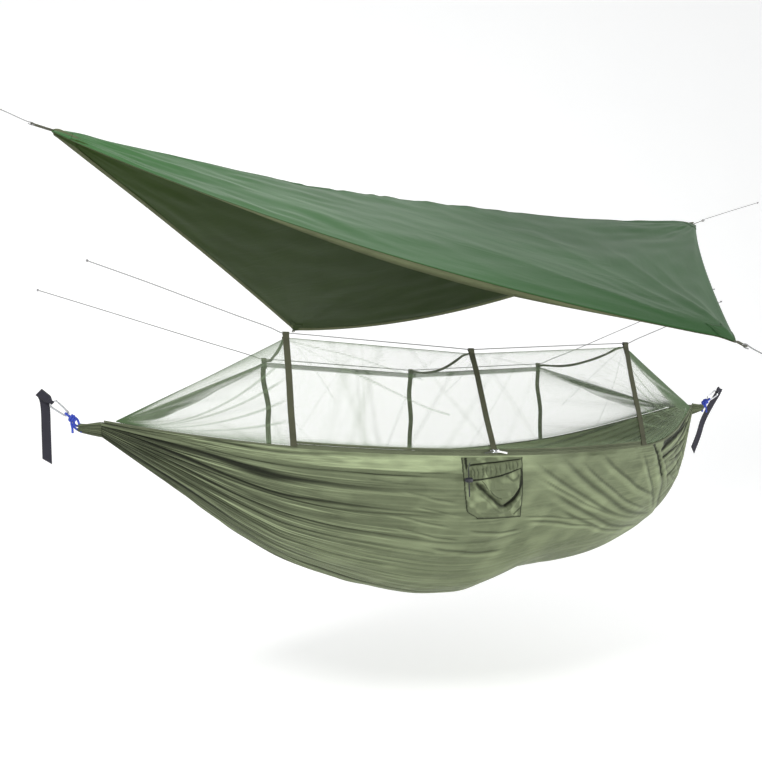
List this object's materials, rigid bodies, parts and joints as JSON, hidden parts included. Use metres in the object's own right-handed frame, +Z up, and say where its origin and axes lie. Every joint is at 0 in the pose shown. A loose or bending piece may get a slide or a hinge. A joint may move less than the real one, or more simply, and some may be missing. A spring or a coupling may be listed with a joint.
{
  "type": "camping hammock",
  "caption": "Gathered-end camping hammock with a zipped insect net on ridge lines, a side pocket and a rain sheet pitched above it.",
  "frame": {"origin": "fold of the left strap over its anchor", "axes": "+X from the left anchor to the right one, +Z up, -Y the front with the zip and the pocket"},
  "size_m": [2.867, 2.1138, 1.4868],
  "materials": {
    "bed_cloth": "satin",
    "hem": "matte",
    "net": "matte",
    "webbing": "matte",
    "rope": "satin",
    "strap": "matte",
    "cord": "matte",
    "steel": "polished",
    "plastic": "matte",
    "rain_sheet": "satin"
  },
  "bodies": {
    "ridge": {"ridge_line_front": "cord", "ridge_line_back": "cord", "ridge_knot_front_left": "cord", "ridge_knot_front_right": "cord", "ridge_knot_back_left": "cord", "ridge_knot_back_right": "cord", "net_roof": "net", "cross_tape_left": "webbing", "cross_tape_middle": "webbing", "cross_tape_right": "webbing", "rain_sheet": "rain_sheet", "rain_sheet_corner_left": "webbing", "rain_sheet_corner_right": "webbing", "rain_sheet_corner_near": "webbing", "rain_sheet_corner_far": "webbing", "guyline_left": "cord", "guyline_right": "cord", "guyline_near": "cord", "guyline_knot_left": "cord", "guyline_knot_right": "cord", "guyline_knot_near": "cord"},
    "bed": {"tree_strap_left": "strap", "tree_strap_right": "strap", "carabiner_left": "steel", "carabiner_right": "steel", "gate_pin_left": "steel", "gate_pin_right": "steel", "end_rope_left": "rope", "end_rope_right": "rope", "gather_left": "bed_cloth", "gather_right": "bed_cloth", "bed_front_panel": "bed_cloth", "bed_centre_panel": "bed_cloth", "bed_back_panel": "bed_cloth", "rim_hem_front": "hem", "rim_hem_back": "hem", "zip_upper_tape": "hem", "net_front_wall": "net", "net_back_wall": "net", "net_left_slope": "net", "net_right_slope": "net", "net_leg_front_left": "webbing", "net_leg_front_middle": "webbing", "net_leg_front_right": "webbing", "net_leg_back_left": "webbing", "net_leg_back_middle": "webbing", "net_leg_back_right": "webbing", "pocket_pouch": "bed_cloth", "pocket_drawcord": "rope"},
    "gate_left": {"carabiner_gate_left": "steel", "gate_spring_left": "steel"},
    "gate_right": {"carabiner_gate_right": "steel", "gate_spring_right": "steel"},
    "slider_left": {"zip_slider_left": "steel"},
    "slider_right": {"zip_slider_right": "steel"},
    "pull_left": {"zip_pull_left": "steel"},
    "pull_right": {"zip_pull_right": "steel"},
    "cord_lock": {"cord_lock_barrel": "plastic", "cord_lock_spring": "steel"},
    "lock_button": {"cord_lock_plunger": "plastic"}
  },
  "joints": [
    {"name": "bed_sway", "type": "hinge", "parent": "ridge", "child": "bed", "pos_m": [0, 0, 0], "axis": [1, 0, 0.007], "range_deg": [-12, 12], "deforming": ["net_front_wall", "net_back_wall", "net_left_slope", "net_right_slope", "net_leg_front_left", "net_leg_front_middle", "net_leg_front_right", "net_leg_back_left", "net_leg_back_middle", "net_leg_back_right"]},
    {"name": "gate_left_swing", "type": "hinge", "parent": "bed", "child": "gate_left", "pos_m": [0.07267, 0, -0.05311], "axis": [0, -1, 0], "range_deg": [0, 24], "stiffness_Nm_per_rad": 0.05, "springref_deg": -17.19},
    {"name": "gate_right_swing", "type": "hinge", "parent": "bed", "child": "gate_right", "pos_m": [2.37001, 0, -0.01309], "axis": [0, 1, 0], "range_deg": [0, 24], "stiffness_Nm_per_rad": 0.05, "springref_deg": -17.19},
    {"name": "slider_left_run", "type": "hinge", "parent": "bed", "child": "slider_left", "pos_m": [1.30423, 1.80804, 0.58968], "axis": [0.0105, -0.3423, 0.9395], "range_deg": [-13.5, 0]},
    {"name": "slider_right_run", "type": "hinge", "parent": "bed", "child": "slider_right", "pos_m": [1.30423, 1.80804, 0.58968], "axis": [0.0105, -0.3423, 0.9395], "range_deg": [0, 13.2]},
    {"name": "pull_left_swing", "type": "hinge", "parent": "slider_left", "child": "pull_left", "pos_m": [1.22979, -0.35649, -0.19572], "axis": [-0.1788, 0.0048, 0.9839], "range_deg": [0, 150]},
    {"name": "pull_right_swing", "type": "hinge", "parent": "slider_right", "child": "pull_right", "pos_m": [1.24482, -0.35685, -0.19601], "axis": [-0.2161, 0.0045, -0.9764], "range_deg": [0, 150]},
    {"name": "cord_lock_slide", "type": "slide", "parent": "bed", "child": "cord_lock", "axis": [0, 0, 1], "range_m": [-0.026, 0.022]},
    {"name": "lock_button_press", "type": "slide", "parent": "cord_lock", "child": "lock_button", "axis": [1, 0, 0], "range_m": [0, 0.003], "stiffness_N_per_m": 500, "springref_m": -0.004, "deforming": ["cord_lock_spring"]}
  ]
}
